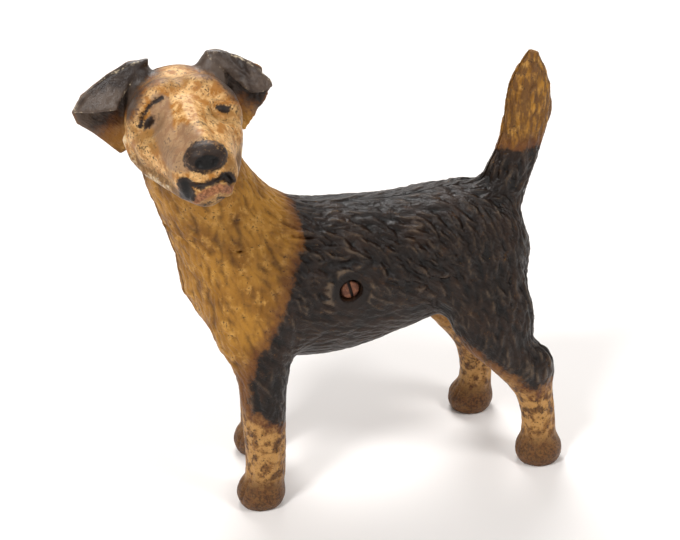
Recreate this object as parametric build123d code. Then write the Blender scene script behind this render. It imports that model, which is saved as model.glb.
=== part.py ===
from build123d import *
from math import cos, radians, sin
import os

# A hollow cast iron still bank in the form of a standing terrier, in millimetres.
# X runs from nose end (-) to tail end (+), Y from the dog's left side (-) to its right side (+), Z up.
# The soles stand on z = 0. The form is modelled with the two castings meeting on the plane y = 0,
# then moved so that the origin is the middle of the base.

# ---- the two castings ----
wall = 3.4                # thickness of the hollow shell
seam_gap = 0.15           # how far each casting's rim stands off the parting plane
clip = 400.0              # size of the blocks that trim each half
base_middle = (-23.82, -14.03)   # x and y of the whole dog's middle, which becomes the origin

# ---- clamp screw and its bosses (No. 8 machine screw) ----
screw_x, screw_z = -21.4, 81.9
head_diameter = 6.6
head_height = 3.0
slot_width = 1.1
slot_depth = 1.3
slot_lean = 15.0          # degrees that the driver slot leans from upright
shank_diameter = 4.1
shank_tip_y = 12.5
head_seat_y = -18.6       # floor of the pocket that the head bears on
pocket_diameter = 8.4
clearance_hole = 4.8
tapped_hole = 4.2
tapped_hole_end_y = 15.5
left_boss_diameter = 13.0
right_boss_diameter = 11.0

# ---- locating pegs, cast on the right half ----
peg_posts = ((-62.0, 73.0), (40.0, 88.0))      # x, z of each post
post_diameter = 8.0
peg_diameter = 3.2
peg_length = 3.0
socket_diameter = 3.6
socket_depth = 3.5

# ---- coin slot, high on the right flank ----
coin_slot_length = 27.0
coin_slot_width = 3.2
coin_slot_centre = (-3.0, 13.8, 97.0)
coin_slot_lean = 45.0     # degrees from upright of the way in
coin_slot_reach = 14.0

# ---- trunk: x, z of the centre, half width, half height ----
trunk = (
    (-74.0, 84.0, 5.0, 6.0),
    (-70.0, 84.0, 11.5, 13.5),
    (-60.0, 82.5, 18.0, 22.5),
    (-43.0, 80.0, 22.0, 28.0),
    (-22.0, 78.0, 22.8, 28.0),
    (2.0, 79.8, 21.5, 24.8),
    (20.0, 82.8, 20.5, 22.8),
    (36.0, 83.0, 19.5, 21.5),
    (46.5, 81.0, 15.0, 16.5),
    (52.0, 79.0, 6.0, 8.0),
)

# ---- neck: x, y, z of the centre, half length along X, half width across ----
neck_lean = (-0.42, 0.0, 0.91)
neck = (
    (-46.0, 0.0, 82.0, 25.0, 19.0),
    (-57.5, 0.0, 101.0, 20.5, 17.5),
    (-66.5, 0.0, 117.0, 16.8, 15.5),
    (-73.0, -1.5, 132.0, 15.5, 15.0),
    (-75.5, -4.0, 143.0, 14.0, 14.0),
)

# ---- head: its middle, and how it is turned ----
head_middle = (-75.6, -10.3, 147.0)
head_turn = 6.7           # degrees that the muzzle points ahead of straight sideways
head_lift = 13.0          # degrees that the muzzle points above level
head_tilt = 4.0           # degrees that the dog's left ear is carried higher

# along the muzzle, height of the centre, half width, half height (in the head's own frame)
skull = (
    (-25.0, 2.0, 4.0, 4.0),
    (-20.0, 2.0, 11.5, 10.5),
    (-10.0, 1.0, 16.5, 15.0),
    (2.0, -0.5, 18.5, 17.0),
    (12.0, -3.0, 19.0, 17.0),
    (22.0, -6.5, 15.5, 15.5),
    (34.0, -10.5, 12.0, 12.5),
    (42.0, -12.0, 9.5, 10.0),
)
nose_middle = (0.0, -4.6, 42.0)
nose_radii = (7.2, 5.3, 5.0)

# ---- ears, as across / up in the head's own frame, for the dog's left; the right is its mirror ----
ear_outline = ((7.0, 17.5), (9.5, 20.5), (20.5, 17.0), (28.0, 12.5), (31.8, 6.0),
               (27.5, -2.0), (21.0, -9.0), (14.0, -6.0), (10.0, 8.0))
ear_flap_corner = (20.0, 5.5)     # where the folded flap's lower edge meets the head
ear_back = -4.5
ear_front = 4.5
ear_leaf = 2.8                    # thickness of the iron in each leaf of the ear

# ---- legs: x, y, z of the centre, half length along X, half width across ----
front_left_leg = (
    (-50.0, -13.0, 78.0, 13.0, 8.0),
    (-51.5, -16.0, 60.0, 10.5, 8.5),
    (-52.0, -17.5, 45.0, 8.2, 7.6),
    (-51.8, -18.0, 31.0, 7.4, 7.0),
    (-51.6, -18.0, 18.0, 7.1, 6.8),
    (-52.4, -17.4, 4.0, 7.0, 6.8),
)
front_right_leg = (
    (-46.0, 13.0, 78.0, 13.0, 8.0),
    (-45.0, 15.5, 60.0, 10.5, 8.5),
    (-44.0, 16.0, 45.0, 8.2, 7.6),
    (-43.6, 16.0, 31.0, 7.4, 7.0),
    (-43.4, 16.0, 18.0, 7.1, 6.8),
    (-44.0, 16.6, 4.0, 7.0, 6.8),
)
rear_left_leg = (
    (26.0, -10.0, 86.0, 8.0, 7.0),
    (31.0, -13.0, 73.0, 15.0, 9.4),
    (33.2, -15.6, 61.0, 15.8, 9.6),
    (36.0, -17.3, 50.0, 13.2, 8.6),
    (43.5, -19.0, 40.0, 11.2, 7.4),
    (49.0, -20.0, 29.0, 7.2, 6.2),
    (51.5, -20.4, 18.0, 6.2, 6.0),
    (52.0, -20.5, 4.0, 6.8, 6.8),
)
rear_right_leg = (
    (25.0, 10.0, 86.0, 8.0, 7.0),
    (28.0, 13.0, 73.0, 15.0, 9.4),
    (28.0, 15.6, 61.0, 15.6, 9.6),
    (29.5, 17.3, 50.0, 13.0, 8.6),
    (35.5, 18.6, 40.0, 11.0, 7.4),
    (40.5, 19.5, 29.0, 7.2, 6.2),
    (42.5, 20.2, 18.0, 6.2, 6.0),
    (41.5, 20.5, 4.0, 6.8, 6.8),
)

# ---- paws: x, y of the sole ----
paws_left = ((-53.2, -17.0), (51.8, -20.5))
paws_right = ((-44.8, 17.0), (40.8, 20.5))
paw_centre_height = 4.8
paw_radius = 8.5

# ---- tail: x, z of the centre, half length along X, half thickness ----
tail_lean = (0.26, 0.0, 0.966)
tail = (
    (39.0, 96.0, 9.5, 6.5),
    (44.5, 108.0, 8.4, 6.0),
    (48.0, 120.0, 7.8, 5.6),
    (50.5, 132.0, 8.6, 5.4),
    (51.8, 143.0, 6.8, 4.6),
    (52.6, 151.5, 2.2, 2.0),
)


def section(centre, across, normal, half_across, half_up):
    """One elliptical section, `across` wide, square to `normal`."""
    plane = Plane(origin=centre, x_dir=across, z_dir=normal)
    return plane * Ellipse(half_across, half_up)


def trunk_form(stations, inset=0.0):
    """The trunk, as a loft of upright sections along X."""
    rings = [
        section((x, 0, z), (0, 1, 0), (1, 0, 0), width - inset, height - inset)
        for x, z, width, height in stations
    ]
    return loft(rings)


def leaning_form(stations, lean, inset=0.0, straight=False):
    """A limb lofted through sections square to `lean`, smoothly or in straight runs."""
    across = Vector(lean).cross(Vector(0, 1, 0)) * -1
    rings = [
        section((x, y, z), across, lean, length - inset, width - inset)
        for x, y, z, length, width in stations
    ]
    return loft(rings, ruled=straight)


def head_frame():
    """The head's own plane: X across to the dog's left, Y up, Z along the muzzle."""
    turn, lift, tilt = radians(head_turn), radians(head_lift), radians(head_tilt)
    muzzle = Vector(-sin(turn) * cos(lift), -cos(turn) * cos(lift), sin(lift))
    level = Vector(cos(turn), -sin(turn), 0)
    crown = muzzle.cross(level)
    across = level * cos(tilt) + crown * sin(tilt)
    return Plane(origin=head_middle, x_dir=across, z_dir=muzzle)


def skull_form(stations, inset=0.0):
    """Skull, muzzle and jaw as one loft along the muzzle."""
    frame = head_frame()
    rings = [
        frame * Pos(0, up, along) * Ellipse(width - inset, height - inset)
        for along, up, width, height in stations
    ]
    return loft(rings)


def nose_form():
    ball = scale(Sphere(1), by=nose_radii)
    return head_frame() * Pos(*nose_middle) * ball


def ear_form(side):
    """A folded ear: a back leaf, and a flap in front of it that hangs from the fold."""
    outline = [(side * across, up) for across, up in ear_outline]
    corner_x, corner_up = side * ear_flap_corner[0], ear_flap_corner[1]
    depth = ear_front - ear_back
    frame = head_frame()
    leaf = make_face(Polyline(*outline, close=True))
    ear = Pos(0, 0, ear_back) * extrude(leaf, depth)
    below = Pos(side * 30, corner_up - 20, ear_back + ear_leaf + depth / 2) * Box(60, 40, depth)
    hollow_outline = [
        (corner_x - side * 5, corner_up - 12),
        (corner_x - side * 5, corner_up + 5.5),
        (side * 30.5, corner_up + 2.0),
        (side * 40.0, corner_up - 12),
    ]
    hollow = make_face(Polyline(*hollow_outline, close=True))
    hollow = Pos(0, 0, ear_back + ear_leaf) * extrude(hollow, depth - 2 * ear_leaf)
    return frame * (ear - below - hollow)


def paw_form(x, y):
    """A round paw with its sole cut flat on z = 0."""
    ball = Pos(x, y, paw_centre_height) * Sphere(paw_radius)
    under = Pos(x, y, -clip / 2) * Box(clip, clip, clip)
    return ball - under


def tail_form():
    stations = [(x, 0.0, z, length, thick) for x, z, length, thick in tail]
    return leaning_form(stations, tail_lean)


def outer_form(legs, paws):
    """The whole outside, with the legs of one side."""
    form = trunk_form(trunk) + leaning_form(neck, neck_lean) + skull_form(skull)
    form = form + nose_form() + tail_form()
    for ear in (ear_form(1), ear_form(-1)):
        form = form + ear
    for leg in legs:
        form = form + leaning_form(leg, (0, 0, 1), straight=True)
    for x, y in paws:
        form = form + paw_form(x, y)
    return form


def hollow_form():
    """The coin chamber: trunk, neck and skull, one wall thickness in from the outside."""
    return (
        trunk_form(trunk[2:-1], wall)
        + leaning_form(neck, neck_lean, wall)
        + skull_form(skull[2:5], wall + 1.0)
    )


def across_rod(x, z, diameter, start_y, end_y):
    """A round bar that lies along Y."""
    middle = (start_y + end_y) / 2
    return Pos(x, middle, z) * Rot(90, 0, 0) * Cylinder(diameter / 2, abs(end_y - start_y))


def half_space(side):
    """Everything on one side of the parting plane, short of the seam gap."""
    return Pos(0, side * (clip / 2 + seam_gap), 0) * Box(clip, clip, clip)


def left_casting(hollow):
    form = outer_form((front_left_leg, rear_left_leg), paws_left)
    inner = hollow - across_rod(screw_x, screw_z, left_boss_diameter, -clip / 4, clip / 4)
    for x, z in peg_posts:
        inner = inner - across_rod(x, z, post_diameter, -clip / 4, clip / 4)
    shell = (form - inner) & half_space(-1)
    shell = shell - across_rod(screw_x, screw_z, clearance_hole, head_seat_y - 1, 1)
    shell = shell - across_rod(screw_x, screw_z, pocket_diameter, -clip / 4, head_seat_y)
    for x, z in peg_posts:
        shell = shell - across_rod(x, z, socket_diameter, -socket_depth, 1)
    return shell


def right_casting(hollow):
    form = outer_form((front_right_leg, rear_right_leg), paws_right)
    inner = hollow - across_rod(screw_x, screw_z, right_boss_diameter, -clip / 4, clip / 4)
    for x, z in peg_posts:
        inner = inner - across_rod(x, z, post_diameter, -clip / 4, clip / 4)
    shell = (form - inner) & half_space(1)
    shell = shell - across_rod(screw_x, screw_z, tapped_hole, -1, tapped_hole_end_y)
    way_in = Rot(-coin_slot_lean, 0, 0) * Box(coin_slot_length, coin_slot_width, coin_slot_reach)
    shell = shell - Pos(*coin_slot_centre) * way_in
    for x, z in peg_posts:
        shell = shell + across_rod(x, z, peg_diameter, seam_gap - peg_length, seam_gap + 1)
    return shell


def clamp_screw():
    """Slotted screw: its head in the pocket of the left flank, its tip in the right half's boss."""
    head = across_rod(screw_x, screw_z, head_diameter, head_seat_y - head_height, head_seat_y)
    shank = across_rod(screw_x, screw_z, shank_diameter, head_seat_y, shank_tip_y)
    face_y = head_seat_y - head_height
    cutter = Box(slot_width, 2 * slot_depth, 2 * head_diameter)
    slot = Pos(screw_x, face_y, screw_z) * Rot(0, -slot_lean, 0) * cutter
    return head + shank - slot


os.makedirs("parts", exist_ok=True)
chamber = hollow_form()
for name, piece in (
    ("left_casting", left_casting(chamber)),
    ("right_casting", right_casting(chamber)),
    ("clamp_screw", clamp_screw()),
):
    piece = Pos(-base_middle[0], -base_middle[1], 0) * piece
    piece.label = name
    export_step(piece, f"parts/{name}.step")
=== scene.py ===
import math
import bpy
import numpy as np
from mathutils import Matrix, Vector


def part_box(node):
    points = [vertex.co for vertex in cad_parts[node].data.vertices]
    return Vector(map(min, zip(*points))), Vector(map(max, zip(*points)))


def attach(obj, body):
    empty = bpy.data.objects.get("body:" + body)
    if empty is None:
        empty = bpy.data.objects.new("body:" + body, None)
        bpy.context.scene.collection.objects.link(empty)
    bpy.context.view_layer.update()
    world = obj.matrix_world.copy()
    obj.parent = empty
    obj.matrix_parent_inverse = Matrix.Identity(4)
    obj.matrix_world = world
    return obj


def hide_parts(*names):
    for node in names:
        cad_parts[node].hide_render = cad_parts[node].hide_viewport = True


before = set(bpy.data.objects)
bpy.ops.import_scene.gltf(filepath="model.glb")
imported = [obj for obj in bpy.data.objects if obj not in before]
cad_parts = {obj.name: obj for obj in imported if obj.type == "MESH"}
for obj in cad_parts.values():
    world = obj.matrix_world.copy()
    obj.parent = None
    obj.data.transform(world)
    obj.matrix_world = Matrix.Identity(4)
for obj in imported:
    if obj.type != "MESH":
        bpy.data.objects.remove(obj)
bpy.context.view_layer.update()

import openvdb
from mathutils import Matrix, Vector, kdtree

# A cast iron still bank in the form of a standing terrier, sculpted in millimetres and placed in metres.
# The clay below is a distance field built from the same stations as the castings, with fur, face and paws.

MM = 0.001

# ---- places worked out from the frame
# The dog is sculpted with its parting plane on y = 0; HOME carries it onto the assembly's frame.
screw_low, screw_high = (np.array(c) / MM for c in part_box("clamp_screw"))
SCREW_X, SCREW_Z = -21.4, 81.9
HEAD_RADIUS = float(screw_high[0] - screw_low[0]) / 2
HEAD_FACE_Y = -21.6
SHANK_TIP_Y = HEAD_FACE_Y + float(screw_high[1] - screw_low[1])
HOME = np.array((float(screw_low[0] + screw_high[0]) / 2 - SCREW_X, float(screw_low[1]) - HEAD_FACE_Y, 0.0))

FINE, PLAIN = 0.92, 1.32   # spacing of the first clay mesh at the head and elsewhere; subdividing halves it
WALL = 3.4                # thickness of the iron
SEAM = 0.05               # each rim stands off the parting plane by this much
POCKET_RADIUS = 4.2
CLEARANCE_RADIUS = 2.4
TAPPED_RADIUS = 2.1

# ---- stations of the form
TRUNK = (                 # x, y, z of the centre, half width, half height
    (-73.2, 0, 84, 4, 5), (-69.4, 0, 84, 11.5, 13), (-60, 0, 82.5, 18, 22.5), (-43, 0, 80, 22, 28),
    (-22, 0, 78, 22.8, 28), (2, 0, 79.8, 21.5, 24.8), (20, 0, 82.8, 20.5, 22.8), (36, 0, 82.6, 19, 21.3),
    (46.3, 0, 79.6, 14.5, 15.8), (51.8, 0, 77, 5, 7),
)
NECK_LEAN = (-0.419, 0, 0.908)
NECK = (                  # x, y, z of the centre, half length along X, half width across
    (-46, 0, 82, 25, 19), (-57.5, 0, 101, 20.5, 17.5), (-66.5, 0, 117, 16.8, 15.5),
    (-72.4, -1.5, 132, 15.8, 15), (-75.5, -4, 143, 13, 13),
)
FRONT_LEFT_LEG = (
    (-50, -12, 80, 12, 8), (-51.5, -15.6, 62, 11, 8.6), (-52, -17.3, 45, 8.3, 7.6),
    (-51.8, -18, 31, 7.5, 7), (-51.6, -18, 18, 7.1, 6.8), (-52.4, -17.4, 4, 7, 6.8),
)
FRONT_RIGHT_LEG = (
    (-46, 12, 80, 12, 8), (-45, 15.3, 62, 11, 8.6), (-44, 16.2, 45, 8.3, 7.6), (-43.6, 16.8, 31, 7.5, 7),
    (-43.4, 17, 18, 7.1, 6.8), (-44, 16.8, 4, 7, 6.8),
)
REAR_LEFT_LEG = (
    (27, -10, 86, 9, 7), (31, -13, 73, 15, 9.4), (33.2, -15.6, 61, 15.8, 9.6), (36, -17.3, 50, 13.2, 8.6),
    (43.5, -19, 40, 10.8, 7.4), (49, -20, 29, 7.2, 6.2), (51.5, -20.4, 18, 6.2, 6),
    (52, -20.5, 4, 6.8, 6.8),
)
REAR_RIGHT_LEG = (
    (25, 10, 86, 9, 7), (28, 13, 73, 15, 9.4), (28.8, 15.6, 61, 15.4, 9.6), (31.2, 17.4, 50, 12.6, 8.6),
    (37.2, 19.2, 40, 10.4, 7.4), (42, 20.6, 29, 7.2, 6.2), (43.8, 21.4, 18, 6.2, 6),
    (43, 21.8, 4, 6.8, 6.8),
)
TAIL_LEAN = (0.26, 0, 0.966)
TAIL = (
    (38, 0, 93, 10.5, 8), (44.5, 0, 108, 8.4, 6.2), (48.6, 0, 120, 7.8, 5.6), (50.8, 0, 131, 8.7, 5.2),
    (51.6, 0, 143, 6.7, 4.2), (52, 0, 152.2, 1.6, 1.4),
)
PAWS = ((-53, -17.2), (52.4, -20.6), (-44.2, 17.4), (42.4, 21.8))
PAW_HEIGHT = 4.6

# the head: its middle, and how it is turned, lifted and tilted (degrees)
HEAD_MIDDLE = np.array((-75.6, -10.3, 147))
HEAD_TURN, HEAD_LIFT, HEAD_TILT = 6.7, 13, 4.0
SKULL = (                 # along the muzzle, across, up, half width, half height
    (-25, 0, 2, 3, 3), (-20, 0, 2, 11.5, 10.5), (-10, 0, 1, 16.5, 15.5), (2, -0.7, -0.5, 17.8, 17.8),
    (12, -0.7, -2.2, 17.3, 15.8), (22, 0.2, -4.8, 14, 13), (33, 1.3, -8.4, 10.6, 10.2),
    (41.5, 1.9, -10.3, 8.7, 8.4), (45, 2, -11, 5, 5),
)


def unit(v):
    v = np.array(v, dtype=float)
    return v / np.linalg.norm(v)


def head_axes():
    """Rows: across to the dog's left, up, along the muzzle."""
    turn, lift, tilt = (math.radians(a) for a in (HEAD_TURN, HEAD_LIFT, HEAD_TILT))
    muzzle = np.array((-math.sin(turn) * math.cos(lift), -math.cos(turn) * math.cos(lift), math.sin(lift)))
    level = np.array((math.cos(turn), -math.sin(turn), 0.0))
    crown = np.cross(muzzle, level)
    across = level * math.cos(tilt) + crown * math.sin(tilt)
    return np.array((across, np.cross(muzzle, across), muzzle))


HEAD_AXES = head_axes()


def in_head(p):
    """Points as across, up and along the head."""
    return (p - HEAD_MIDDLE) @ HEAD_AXES.T


def from_head(q):
    return HEAD_MIDDLE + np.asarray(q, dtype=float) @ HEAD_AXES


# ---- distance fields
def densify(table, runs=10):
    """A smooth curve through given rows, whose first column rises or falls steadily."""
    table = np.array(sorted(table, key=lambda row: row[0]), dtype=float)
    t = table[:, 0]
    slope = np.gradient(table, t, axis=0)
    rows = []
    for i in range(len(t) - 1):
        step = t[i + 1] - t[i]
        for s in np.linspace(0, 1, runs, endpoint=False):
            a = (1 + 2 * s) * (1 - s) ** 2
            b = s * (1 - s) ** 2
            c = s * s * (3 - 2 * s)
            d = s * s * (s - 1)
            rows.append(a * table[i] + b * step * slope[i] + c * table[i + 1] + d * step * slope[i + 1])
    rows.append(table[-1])
    return np.array(rows)


def loft(axis, across, table, power=2.0):
    """Rounded sections square to axis. Rows: along, across and up of the centre, half width and height."""
    axis, across = unit(axis), unit(across)
    basis = np.array((axis, across, np.cross(axis, across)))
    rows = densify(table)
    middle = (rows[0, :3] + rows[-1, :3]) / 2 @ basis
    reach = np.abs(rows[:, 0] - rows[:, 0].mean()).max() + rows[:, 3:].max() + 10.0

    def field(p):
        q = p @ basis.T
        t = np.clip(q[:, 0], rows[0, 0], rows[-1, 0])
        ca, cb, ra, rb = (np.interp(t, rows[:, 0], rows[:, i]) for i in (1, 2, 3, 4))
        a, b = np.abs(q[:, 1] - ca) / ra, np.abs(q[:, 2] - cb) / rb
        k = (a ** power + b ** power) ** (1 / power) + 1e-6
        g = np.hypot((a / k) ** (power - 1) / ra, (b / k) ** (power - 1) / rb) + 1e-6
        d = (k - 1) / g
        over = np.abs(q[:, 0] - t)
        return np.where(over > 0, np.hypot(np.maximum(d, 0), over), d)

    return middle, reach, field


def limb(stations, lean=(0, 0, 1), power=2.0):
    """A loft from x, y, z stations, whose sections are longest along X and square to lean."""
    axis = unit(lean)
    across = unit(np.cross((0, 1, 0), axis))
    up = np.cross(axis, across)
    table = []
    for x, y, z, length, width in stations:
        c = np.array((x, y, z))
        table.append((c @ axis, c @ across, c @ up, length, width))
    return loft(axis, across, table, power)


def ball(centre, radii, axes=np.eye(3)):
    """An ellipsoid; rows of axes are its own directions."""
    centre, radii = np.array(centre, dtype=float), np.array(radii, dtype=float)

    def field(p):
        q = (p - centre) @ axes.T
        k = np.linalg.norm(q / radii, axis=1) + 1e-6
        g = np.linalg.norm(q / radii ** 2, axis=1) + 1e-6
        return k * (k - 1) / g

    return centre, radii.max() + 8.0, field


def head_ball(centre, radii, roll=0.0):
    """An ellipsoid placed in the head's frame, rolled about the muzzle by roll degrees."""
    c, s = math.cos(math.radians(roll)), math.sin(math.radians(roll))
    spin = np.array(((c, s, 0), (-s, c, 0), (0, 0, 1)))
    return ball(from_head(centre), radii, spin @ HEAD_AXES)


def cord(points, radii):
    """A tube through points, whose radius changes from point to point."""
    points = np.array(points, dtype=float)
    radii = np.broadcast_to(np.array(radii, dtype=float), (len(points),))
    centre = points.mean(axis=0)
    reach = np.linalg.norm(points - centre, axis=1).max() + radii.max() + 6.0

    def field(p):
        best = np.full(len(p), 99.0)
        for a, b, ra, rb in zip(points[:-1], points[1:], radii[:-1], radii[1:]):
            run = b - a
            t = np.clip((p - a) @ run / (run @ run), 0, 1)
            gap = np.linalg.norm(p - a - t[:, None] * run, axis=1) - (ra + t * (rb - ra))
            best = np.minimum(best, gap)
        return best

    return centre, reach, field


def head_cord(points, radii):
    return cord([from_head(q) for q in points], radii)


def outline_distance(x, y, outline):
    """Signed distance to a closed outline, negative inside."""
    corners = np.array(outline, dtype=float)
    gap = np.full(len(x), 1e9)
    inside = np.zeros(len(x), dtype=bool)
    for (ax, ay), (bx, by) in zip(corners, np.roll(corners, -1, axis=0)):
        ex, ey = bx - ax, by - ay
        t = np.clip(((x - ax) * ex + (y - ay) * ey) / (ex * ex + ey * ey), 0, 1)
        gap = np.minimum(gap, np.hypot(x - ax - t * ex, y - ay - t * ey))
        crosses = (ay > y) != (by > y)
        at = ax + (y - ay) * ex / (ey if ey else 1e-9)
        inside ^= crosses & (x < at)
    return np.where(inside, -gap, gap)


def leaf(outline, sheet, thickness, rounding=1.0):
    """A curved plate in the head's frame: outline is across / up, sheet gives its middle along the muzzle."""
    corners = np.array(outline, dtype=float)
    middle = corners.mean(axis=0)
    centre = from_head((middle[0], middle[1], 0.0))
    reach = np.linalg.norm(corners - middle, axis=1).max() + 12.0

    def field(p):
        q = in_head(p)
        edge = outline_distance(q[:, 0], q[:, 1], outline) + rounding
        face = np.abs(q[:, 2] - sheet(q[:, 0], q[:, 1])) - thickness / 2 + rounding
        outer = np.hypot(np.maximum(edge, 0), np.maximum(face, 0))
        return np.minimum(np.maximum(edge, face), 0) + outer - rounding

    return centre, reach, field


class Clay:
    """Distances of a set of points to a form that grows shape by shape."""

    def __init__(self, points):
        self.points = points
        self.d = np.full(len(points), 30.0)

    def work(self, shape, softness, sign):
        centre, reach, field = shape
        near = np.nonzero(((self.points - centre) ** 2).sum(axis=1) < reach ** 2)[0]
        a, b = sign * self.d[near], field(self.points[near])
        h = np.clip(0.5 + 0.5 * (b - a) / softness, 0, 1)
        self.d[near] = sign * (b * (1 - h) + a * h - softness * h * (1 - h))

    def add(self, shape, softness=2.0):
        self.work(shape, softness, 1)

    def carve(self, shape, softness=1.0):
        self.work(shape, softness, -1)


# ---- the ears, in the head's own frame
EARS = {
    -1: dict(
        back=((7.5, 17), (8.3, 21.3), (14, 20.6), (20.3, 18.2), (26.3, 15.4), (30.8, 12.5), (34.4, 7.5),
              (33.2, 3.4), (27.6, -1.4), (20.8, -8), (15.5, -6), (11, 8)),
        flap=((7.8, 21.3), (14, 20.6), (20.3, 18.2), (26.3, 15.4), (30.8, 12.5), (34.4, 7.8),
              (28, 7), (20.2, 7.2), (19, 9.5), (16.2, 13), (13.2, 17.2)),
    ),
    1: dict(
        back=((7.5, 16), (11, 20.9), (15.7, 20.4), (21.6, 17.6), (26.7, 13.4), (30.2, 9.2), (30.8, 7),
              (28.3, 2.4), (24.6, -1.8), (20.6, -6), (15.5, -6), (11, 8)),
        flap=((11, 20.9), (15.7, 20.4), (21.6, 17.6), (26.7, 13.4), (30.4, 9.2), (30.8, 7),
              (27, 6), (23, 6.6), (18.9, 10.9), (14.4, 16.1), (11.6, 19)),
    ),
}
FOLD_LINE = ((8, 21.5), (15, 20.4), (21, 17.9), (27, 14), (32, 8.5))


def fold_drop(x, y):
    """How far a point of the ear lies below the fold along its top."""
    line = np.array(FOLD_LINE)
    return np.maximum(np.interp(np.abs(x), line[:, 0], line[:, 1]) - y, 0)


def flap_sheet(x, y):
    return 0.6 + 0.34 * fold_drop(x, y) + 0.04 * (np.abs(x) - 20)


def back_sheet(x, y):
    drop = fold_drop(x, y)
    return -1.4 - 2.4 * np.clip(drop / 9, 0, 1) + 0.16 * np.maximum(drop - 12, 0)


def ear_outline(side, part):
    """An ear's outline on its own side of the head."""
    return [(side * x, y) for x, y in EARS[side][part]]


def add_ears(clay):
    for side in EARS:
        back, flap = ear_outline(side, "back"), ear_outline(side, "flap")
        clay.add(head_ball((side * 11.6, 12.4, -1), (5.6, 9.2, 4.5), side * -18), 3)
        clay.add(leaf(back, back_sheet, 2.6), 1.2)
        clay.add(leaf(flap, flap_sheet, 2.2, 0.8), 0.8)
        start = 9.0 if side < 0 else 11.5
        fold = [(side * max(x, start), y - 1.2, -0.2) for x, y in FOLD_LINE[:-1]]
        clay.add(head_cord(fold, (1, 1.5, 1.6, 1.4)), 1.2)


# ---- the face, in the head's own frame
LEFT_JAW_RIM = ((-18.9, -2.5, 7), (-17.3, -7.4, 12), (-13.8, -11.6, 18), (-9.6, -14, 26.5),
                (-5.2, -16.4, 34.5), (-0.4, -18.2, 38.6))
RIGHT_JAW_RIM = ((17.2, -1, 8), (16.2, -6.6, 12.5), (14.2, -11, 18.5), (11.4, -14.4, 27),
                 (7.8, -16.8, 35), (2.4, -18.4, 38.8))


def add_face(clay):
    for rim in (LEFT_JAW_RIM, RIGHT_JAW_RIM):
        clay.add(head_cord(rim, (0.9, 1.4, 1.6, 1.7, 1.8, 1.8)), 3)
    for side in (-1, 1):
        clay.add(head_ball((side * 8.8, 11, 12.5), (7, 4, 4.6), side * -30), 6)
        clay.add(head_ball((side * 14.6, 3, 14), (3.4, 5.5, 4.4), side * 10), 4.5)
        clay.add(head_ball((side * 11, -4.5, 19), (5.5, 4.4, 4), side * 20), 4)
        lean = 46 if side < 0 else -24
        clay.carve(head_ball((side * 11.7, 4.9, 22.4), (4.8, 3.6, 4), lean), 2)
        clay.add(head_ball((side * 11.8, 4.5, 17), (3.2, 2, 2.3), lean), 0.6)
    clay.add(head_cord(((0.4, 6.4, 19.6), (0.9, 2.2, 30.4), (1.6, -1.2, 38.6)), (4, 3.8, 4)), 2.4)
    clay.carve(head_cord(((0.2, 14, 18), (0.4, 9.5, 25), (0.8, 6.4, 31)), (0.8, 0.9, 0.6)), 1.6)
    clay.carve(head_cord(((-6.4, 11.6, 18.4), (-10.4, 9.6, 18.3), (-13.8, 6, 17.2), (-14.8, 3.2, 16.2)),
                         (0.3, 0.7, 0.7, 0.3)), 1.6)
    clay.carve(head_cord(((6.8, 10.6, 18.6), (12, 9.6, 18), (16.2, 6.2, 15.6)), (0.2, 0.4, 0.2)), 2)
    nose = (1.9, -4.4, 43.2)
    clay.add(head_ball(nose, (6.8, 4.9, 4.5), 4), 0.8)
    clay.carve(head_ball((nose[0], nose[1] - 1.6, nose[2] + 4.9), (1.1, 3, 1.4), 0), 0.9)
    for side in (-1, 1):
        clay.carve(head_ball((nose[0] + side * 2.7, nose[1] - 1.3, nose[2] + 4.6), (1.7, 1.5, 1.9), 0), 0.8)
    mouth = ((-5.2, -16.4, 41.6), (-5, -12.2, 44), (2, -12.6, 45.6), (7.2, -11.2, 43.8),
             (8.8, -14, 41.4))
    clay.carve(head_cord(mouth, (1.2, 1.3, 0.4, 1.1, 0.9)), 1.5)
    lip = ((-2.6, -17.4, 41.4), (2.6, -14.8, 43.4), (7.6, -16.6, 41))
    clay.add(head_cord(lip, (1.3, 1.6, 1.3)), 1.6)


# ---- the whole outside
def trunk():
    return loft((1, 0, 0), (0, 1, 0), TRUNK, 2.15)


def outside(points):
    """Distance of each point to the smooth casting, before its fur."""
    clay = Clay(points)
    clay.add(trunk())
    clay.add(limb(NECK, NECK_LEAN, 2.1), 7)
    for leg in (FRONT_LEFT_LEG, FRONT_RIGHT_LEG):
        clay.add(limb(leg), 7)
    for leg in (REAR_LEFT_LEG, REAR_RIGHT_LEG):
        clay.add(limb(leg), 6)
    for side, x in ((-1, -58), (1, -54)):
        clay.add(ball((x, side * 12.5, 70), (9, 7.5, 12)), 8)
    for side, x in ((-1, 51.2), (1, 43.6)):
        clay.add(ball((x, side * 19.6, 39), (4.6, 5, 7)), 5)
    for x, y in PAWS:
        side = math.copysign(1, y)
        clay.add(ball((x - 0.4, y, PAW_HEIGHT), (8.6, 8.3, 7.8)), 1.6)
        for toe in (-3.2, 0.2, 3.4):
            root = (x - 6, y + toe * 0.9, 11)
            tip = (x - 9.6, y + toe, 1)
            clay.carve(cord((root, tip), (0.25, 0.55)), 0.9)
    for side, x in ((-1, 12), (1, 10)):
        clay.carve(ball((x, side * 29, 77), (7, 8.2, 15)), 6)
    clay.carve(cord(((-39.5, -22.6, 84), (-40.6, -23.4, 72), (-41.2, -20.6, 59)), (0.2, 0.6, 0.5)), 1.8)
    clay.add(limb(TAIL, TAIL_LEAN, 1.8), 5)
    clay.add(loft(HEAD_AXES[2], HEAD_AXES[0], shifted_skull(), 2.1), 5)
    add_face(clay)
    add_ears(clay)
    clay.carve(cord(throat_crease(), (0.3, 0.5, 0.55, 0.5, 0.2)), 1.2)
    clay.d = np.maximum(clay.d, -points[:, 2])
    return clay.d


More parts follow.
